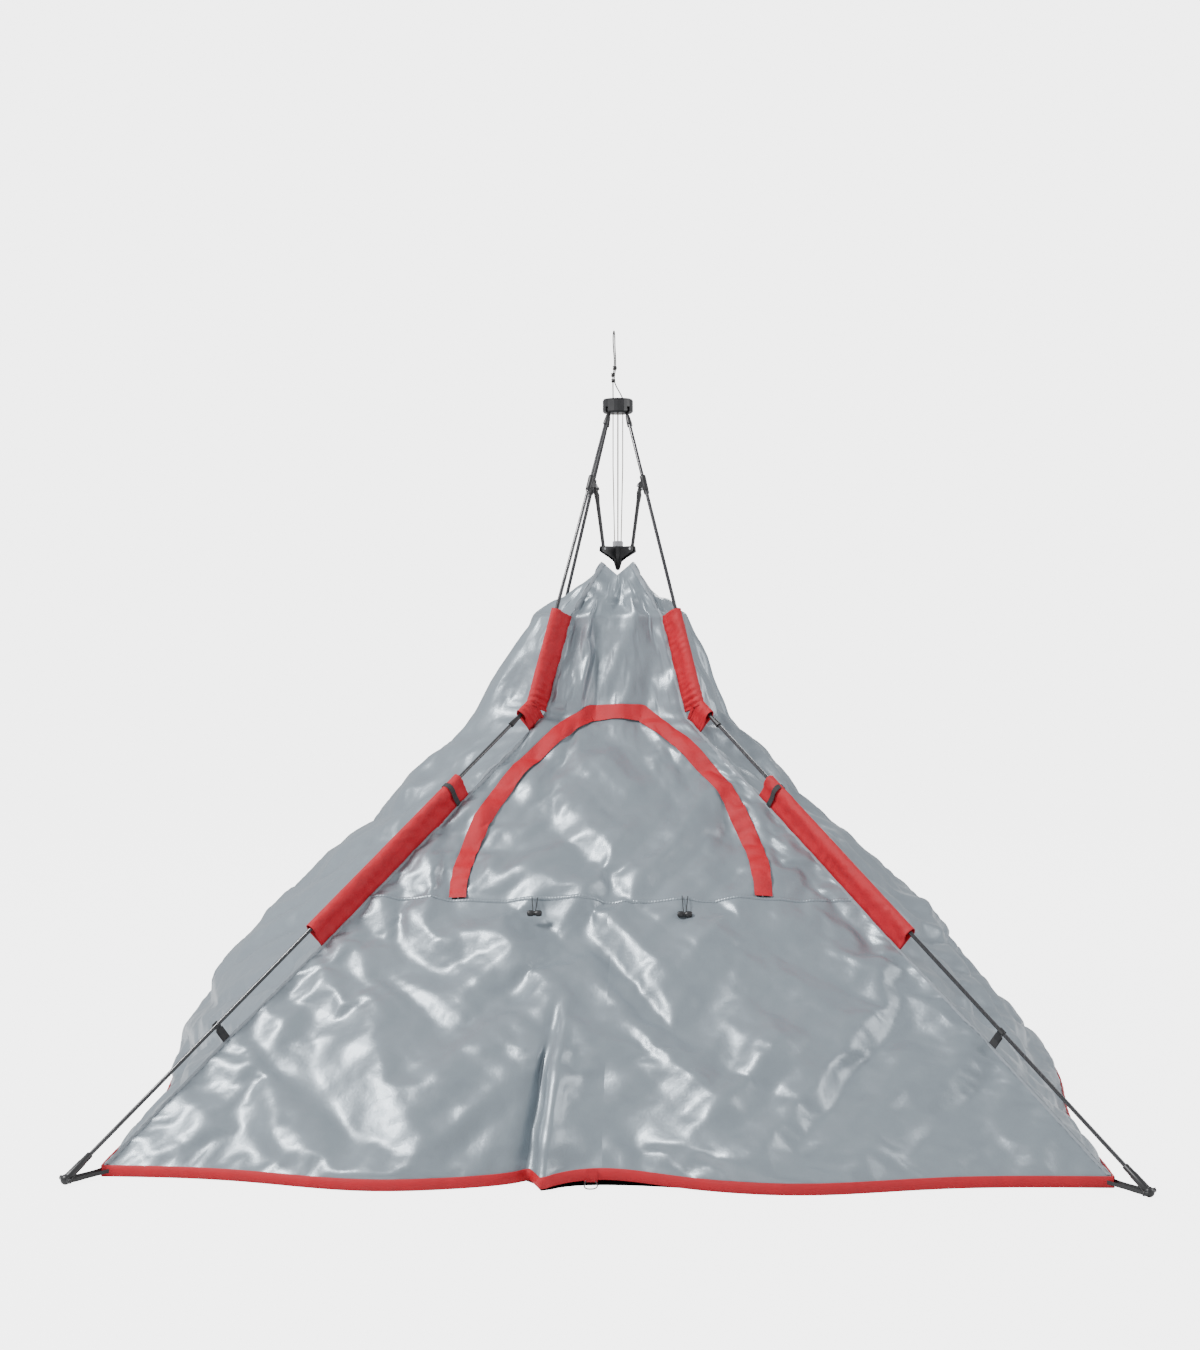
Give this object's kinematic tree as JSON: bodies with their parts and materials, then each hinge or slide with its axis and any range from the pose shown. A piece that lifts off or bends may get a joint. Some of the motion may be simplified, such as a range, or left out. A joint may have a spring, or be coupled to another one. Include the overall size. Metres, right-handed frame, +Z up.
{
  "type": "teepee tent",
  "caption": "Four-sided teepee tent on a folding umbrella frame, with red pole sleeves, an arched fold-down window and a red hem.",
  "frame": {"origin": "on the ground, midway between the four feet", "axes": "+Z up, -Y towards the arched window, +X to the right seen from there"},
  "size_m": [2.2552, 2.2552, 1.9211],
  "materials": {
    "coated_polyester": "silver coated, slightly glossy",
    "red_binding": "matt woven",
    "groundsheet": "coated, dull",
    "cord": "braided",
    "glass_fibre": "glossy rod",
    "black_plastic": "moulded",
    "grey_plastic": "moulded"
  },
  "bodies": {
    "canopy": {"top_hub": "black_plastic", "top_hub_cap": "black_plastic", "canopy_front": "coated_polyester", "canopy_right": "coated_polyester", "canopy_back": "coated_polyester", "canopy_left": "coated_polyester", "hem_binding": "red_binding", "groundsheet": "groundsheet", "draw_cords": "cord"},
    "runner": {"lower_hub": "black_plastic", "lower_hub_collar": "grey_plastic"},
    "upper_leg_front_right": {"hub_knuckle_front_right": "black_plastic", "upper_pole_front_right": "glass_fibre", "bracket_front_right": "black_plastic", "knee_upper_front_right": "black_plastic", "upper_sleeve_front_right": "red_binding"},
    "strut_front_right": {"strut_front_right": "black_plastic"},
    "lower_leg_front_right": {"knee_lower_front_right": "black_plastic", "lower_pole_front_right": "glass_fibre", "foot_front_right": "black_plastic", "pole_clip_front_right": "black_plastic", "lower_sleeve_front_right": "red_binding"},
    "upper_leg_back_right": {"hub_knuckle_back_right": "black_plastic", "upper_pole_back_right": "glass_fibre", "bracket_back_right": "black_plastic", "knee_upper_back_right": "black_plastic", "upper_sleeve_back_right": "red_binding"},
    "strut_back_right": {"strut_back_right": "black_plastic"},
    "lower_leg_back_right": {"knee_lower_back_right": "black_plastic", "lower_pole_back_right": "glass_fibre", "foot_back_right": "black_plastic", "pole_clip_back_right": "black_plastic", "lower_sleeve_back_right": "red_binding"},
    "upper_leg_back_left": {"hub_knuckle_back_left": "black_plastic", "upper_pole_back_left": "glass_fibre", "bracket_back_left": "black_plastic", "knee_upper_back_left": "black_plastic", "upper_sleeve_back_left": "red_binding"},
    "strut_back_left": {"strut_back_left": "black_plastic"},
    "lower_leg_back_left": {"knee_lower_back_left": "black_plastic", "lower_pole_back_left": "glass_fibre", "foot_back_left": "black_plastic", "pole_clip_back_left": "black_plastic", "lower_sleeve_back_left": "red_binding"},
    "upper_leg_front_left": {"hub_knuckle_front_left": "black_plastic", "upper_pole_front_left": "glass_fibre", "bracket_front_left": "black_plastic", "knee_upper_front_left": "black_plastic", "upper_sleeve_front_left": "red_binding"},
    "strut_front_left": {"strut_front_left": "black_plastic"},
    "lower_leg_front_left": {"knee_lower_front_left": "black_plastic", "lower_pole_front_left": "glass_fibre", "foot_front_left": "black_plastic", "pole_clip_front_left": "black_plastic", "lower_sleeve_front_left": "red_binding"},
    "pull_cord": {"pull_cord": "cord"},
    "window": {"window_panel": "coated_polyester", "zip_flap": "red_binding"},
    "toggle_left": {"toggle_left": "black_plastic"},
    "toggle_right": {"toggle_right": "black_plastic"}
  },
  "joints": [
    {"name": "runner_slide", "type": "slide", "parent": "canopy", "child": "runner", "axis": [0, 0, 1], "range_m": [0, 0.07947], "deforming": ["draw_cords"]},
    {"name": "upper_leg_swing_front_right", "type": "hinge", "parent": "canopy", "child": "upper_leg_front_right", "pos_m": [0.02121, -0.02121, 1.711], "axis": [-0.7071, -0.7071, 0], "range_deg": [0, 25.03]},
    {"name": "strut_swing_front_right", "type": "hinge", "parent": "upper_leg_front_right", "child": "strut_front_right", "pos_m": [0.0576, -0.0576, 1.51175], "axis": [-0.7071, -0.7071, 0], "range_deg": [-56.54, 0]},
    {"name": "lower_leg_spread_front_right", "type": "hinge", "parent": "canopy", "child": "lower_leg_front_right", "pos_m": [1.15576, -1.15576, -0.85606], "axis": [-0.7071, -0.7071, 0], "range_deg": [-8.82, 0]},
    {"name": "upper_leg_swing_back_right", "type": "hinge", "parent": "canopy", "child": "upper_leg_back_right", "pos_m": [0.02121, 0.02121, 1.711], "axis": [0.7071, -0.7071, 0], "range_deg": [0, 25.03]},
    {"name": "strut_swing_back_right", "type": "hinge", "parent": "upper_leg_back_right", "child": "strut_back_right", "pos_m": [0.0576, 0.0576, 1.51175], "axis": [0.7071, -0.7071, 0], "range_deg": [-56.54, 0]},
    {"name": "lower_leg_spread_back_right", "type": "hinge", "parent": "canopy", "child": "lower_leg_back_right", "pos_m": [1.15576, 1.15576, -0.85606], "axis": [0.7071, -0.7071, 0], "range_deg": [-8.82, 0]},
    {"name": "upper_leg_swing_back_left", "type": "hinge", "parent": "canopy", "child": "upper_leg_back_left", "pos_m": [-0.02121, 0.02121, 1.711], "axis": [0.7071, 0.7071, 0], "range_deg": [0, 25.03]},
    {"name": "strut_swing_back_left", "type": "hinge", "parent": "upper_leg_back_left", "child": "strut_back_left", "pos_m": [-0.0576, 0.0576, 1.51175], "axis": [0.7071, 0.7071, 0], "range_deg": [-56.54, 0]},
    {"name": "lower_leg_spread_back_left", "type": "hinge", "parent": "canopy", "child": "lower_leg_back_left", "pos_m": [-1.15576, 1.15576, -0.85606], "axis": [0.7071, 0.7071, 0], "range_deg": [-8.82, 0]},
    {"name": "upper_leg_swing_front_left", "type": "hinge", "parent": "canopy", "child": "upper_leg_front_left", "pos_m": [-0.02121, -0.02121, 1.711], "axis": [-0.7071, 0.7071, 0], "range_deg": [0, 25.03]},
    {"name": "strut_swing_front_left", "type": "hinge", "parent": "upper_leg_front_left", "child": "strut_front_left", "pos_m": [-0.0576, -0.0576, 1.51175], "axis": [-0.7071, 0.7071, 0], "range_deg": [-56.54, 0]},
    {"name": "lower_leg_spread_front_left", "type": "hinge", "parent": "canopy", "child": "lower_leg_front_left", "pos_m": [-1.15576, -1.15576, -0.85606], "axis": [-0.7071, 0.7071, 0], "range_deg": [-8.82, 0]},
    {"name": "pull_cord_draw", "type": "slide", "parent": "canopy", "child": "pull_cord", "axis": [0, 0, 1], "range_m": [0, 0.15901]},
    {"name": "window_fold", "type": "hinge", "parent": "canopy", "child": "window", "pos_m": [0, -0.61, 0.5245], "axis": [1, 0, 0], "range_deg": [0, 150]},
    {"name": "toggle_left_swing", "type": "hinge", "parent": "canopy", "child": "toggle_left", "pos_m": [-0.172, -0.622, 0.522], "axis": [1, 0, 0], "range_deg": [-50, 0]},
    {"name": "toggle_right_swing", "type": "hinge", "parent": "canopy", "child": "toggle_right", "pos_m": [0.172, -0.622, 0.522], "axis": [1, 0, 0], "range_deg": [-50, 0]}
  ],
  "couplings": [
    {"joint": "upper_leg_swing_front_right", "follows": "runner_slide", "rad_per_m": 5.4935},
    {"joint": "strut_swing_front_right", "follows": "runner_slide", "rad_per_m": -12.411},
    {"joint": "lower_leg_spread_front_right", "follows": "runner_slide", "rad_per_m": -1.9372},
    {"joint": "upper_leg_swing_back_right", "follows": "runner_slide", "rad_per_m": 5.4935},
    {"joint": "strut_swing_back_right", "follows": "runner_slide", "rad_per_m": -12.411},
    {"joint": "lower_leg_spread_back_right", "follows": "runner_slide", "rad_per_m": -1.9372},
    {"joint": "upper_leg_swing_back_left", "follows": "runner_slide", "rad_per_m": 5.4935},
    {"joint": "strut_swing_back_left", "follows": "runner_slide", "rad_per_m": -12.411},
    {"joint": "lower_leg_spread_back_left", "follows": "runner_slide", "rad_per_m": -1.9372},
    {"joint": "upper_leg_swing_front_left", "follows": "runner_slide", "rad_per_m": 5.4935},
    {"joint": "strut_swing_front_left", "follows": "runner_slide", "rad_per_m": -12.411},
    {"joint": "lower_leg_spread_front_left", "follows": "runner_slide", "rad_per_m": -1.9372},
    {"joint": "pull_cord_draw", "follows": "runner_slide", "ratio": 2}
  ]
}
